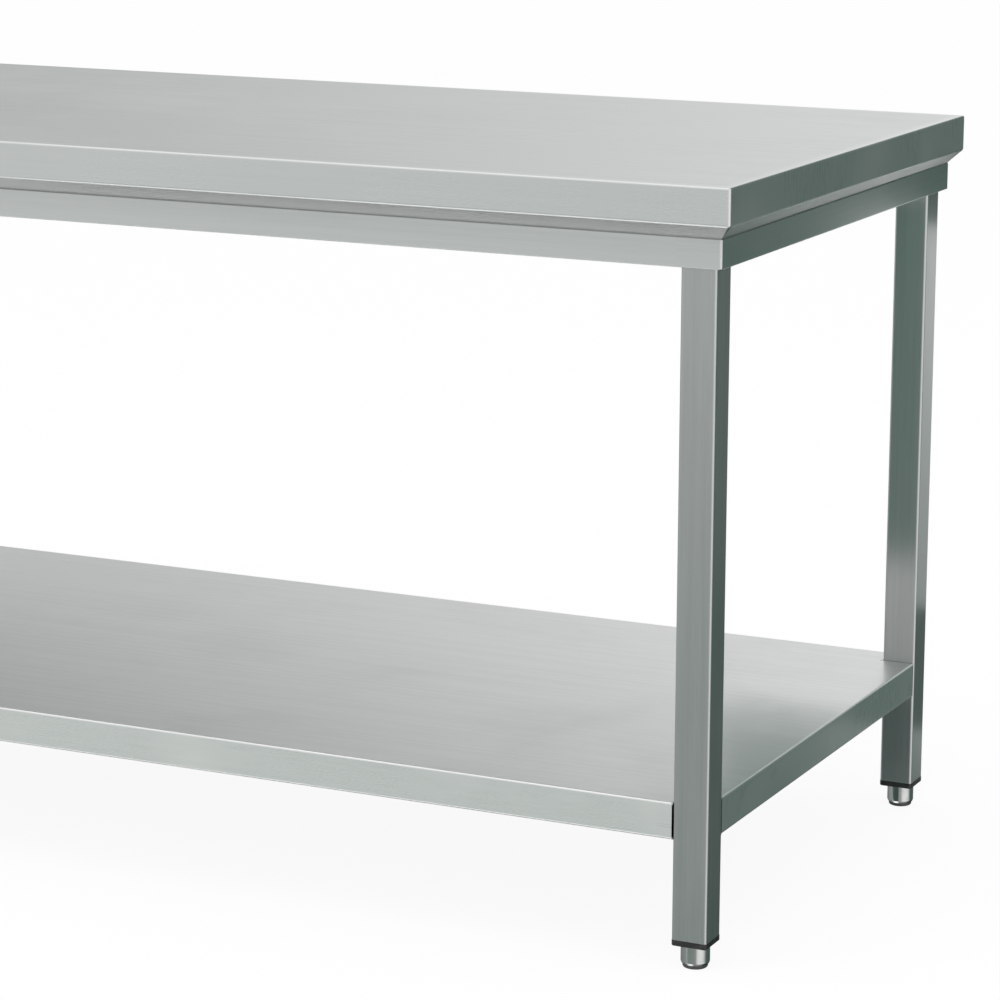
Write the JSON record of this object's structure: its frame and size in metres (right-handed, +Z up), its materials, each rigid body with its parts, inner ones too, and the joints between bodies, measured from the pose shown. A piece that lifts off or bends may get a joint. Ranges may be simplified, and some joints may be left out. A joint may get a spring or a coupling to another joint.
{
  "type": "stainless work table",
  "caption": "Rectangular stainless steel work table with a deep folded edge, a solid undershelf, square tube legs and screw-adjusted feet.",
  "frame": {"origin": "on the floor, under the middle of the worktop", "axes": "+Z up, +X along the length to the right seen from the front, +Y from the front to the rear"},
  "size_m": [1.5, 0.7, 0.8],
  "materials": {
    "brushed_stainless": "fine straight grain, satin",
    "polished_stainless": "polished",
    "zinc_steel": "bright zinc plated",
    "black_nylon": "moulded, slightly textured",
    "grey_pad": "moulded",
    "board": "chipboard with a grey melamine face"
  },
  "bodies": {
    "frame": {"top_panel": "brushed_stainless", "top_board": "board", "front_top_stiffener": "brushed_stainless", "rear_top_stiffener": "brushed_stainless", "board_screws": "zinc_steel", "front_rail": "brushed_stainless", "rear_rail": "brushed_stainless", "left_rail": "brushed_stainless", "right_rail": "brushed_stainless", "front_left_leg_socket": "zinc_steel", "front_right_leg_socket": "zinc_steel", "rear_left_leg_socket": "zinc_steel", "rear_right_leg_socket": "zinc_steel", "front_left_leg": "brushed_stainless", "front_right_leg": "brushed_stainless", "rear_left_leg": "brushed_stainless", "rear_right_leg": "brushed_stainless", "shelf_panel": "brushed_stainless", "front_shelf_stiffener": "brushed_stainless", "rear_shelf_stiffener": "brushed_stainless", "front_left_shelf_bracket": "zinc_steel", "front_right_shelf_bracket": "zinc_steel", "rear_left_shelf_bracket": "zinc_steel", "rear_right_shelf_bracket": "zinc_steel", "rivet_nuts": "zinc_steel", "socket_washers": "zinc_steel", "socket_bolts": "zinc_steel", "shelf_washers": "zinc_steel", "shelf_bolts": "zinc_steel", "front_left_foot_plug": "black_nylon", "front_left_foot_nut": "zinc_steel", "front_right_foot_plug": "black_nylon", "front_right_foot_nut": "zinc_steel", "rear_left_foot_plug": "black_nylon", "rear_left_foot_nut": "zinc_steel", "rear_right_foot_plug": "black_nylon", "rear_right_foot_nut": "zinc_steel"},
    "front_left_pad": {"front_left_foot_pad": "grey_pad"},
    "front_left_screw": {"front_left_foot_cup": "polished_stainless", "front_left_foot_stem": "zinc_steel"},
    "front_right_pad": {"front_right_foot_pad": "grey_pad"},
    "front_right_screw": {"front_right_foot_cup": "polished_stainless", "front_right_foot_stem": "zinc_steel"},
    "rear_left_pad": {"rear_left_foot_pad": "grey_pad"},
    "rear_left_screw": {"rear_left_foot_cup": "polished_stainless", "rear_left_foot_stem": "zinc_steel"},
    "rear_right_pad": {"rear_right_foot_pad": "grey_pad"},
    "rear_right_screw": {"rear_right_foot_cup": "polished_stainless", "rear_right_foot_stem": "zinc_steel"}
  },
  "joints": [
    {"name": "front_left_height", "type": "slide", "parent": "frame", "child": "front_left_pad", "axis": [0, 0, -1], "range_m": [0, 0.025]},
    {"name": "front_left_turn", "type": "hinge", "parent": "front_left_pad", "child": "front_left_screw", "pos_m": [-0.71, -0.31, 0.03], "axis": [0, 0, -1], "range_deg": [0, 6000]},
    {"name": "front_right_height", "type": "slide", "parent": "frame", "child": "front_right_pad", "axis": [0, 0, -1], "range_m": [0, 0.025]},
    {"name": "front_right_turn", "type": "hinge", "parent": "front_right_pad", "child": "front_right_screw", "pos_m": [0.71, -0.31, 0.03], "axis": [0, 0, -1], "range_deg": [0, 6000]},
    {"name": "rear_left_height", "type": "slide", "parent": "frame", "child": "rear_left_pad", "axis": [0, 0, -1], "range_m": [0, 0.025]},
    {"name": "rear_left_turn", "type": "hinge", "parent": "rear_left_pad", "child": "rear_left_screw", "pos_m": [-0.71, 0.31, 0.03], "axis": [0, 0, -1], "range_deg": [0, 6000]},
    {"name": "rear_right_height", "type": "slide", "parent": "frame", "child": "rear_right_pad", "axis": [0, 0, -1], "range_m": [0, 0.025]},
    {"name": "rear_right_turn", "type": "hinge", "parent": "rear_right_pad", "child": "rear_right_screw", "pos_m": [0.71, 0.31, 0.03], "axis": [0, 0, -1], "range_deg": [0, 6000]}
  ],
  "couplings": [
    {"joint": "front_left_height", "follows": "front_left_turn", "m_per_rad": 0.00023873},
    {"joint": "front_right_height", "follows": "front_right_turn", "m_per_rad": 0.00023873},
    {"joint": "rear_left_height", "follows": "rear_left_turn", "m_per_rad": 0.00023873},
    {"joint": "rear_right_height", "follows": "rear_right_turn", "m_per_rad": 0.00023873}
  ]
}
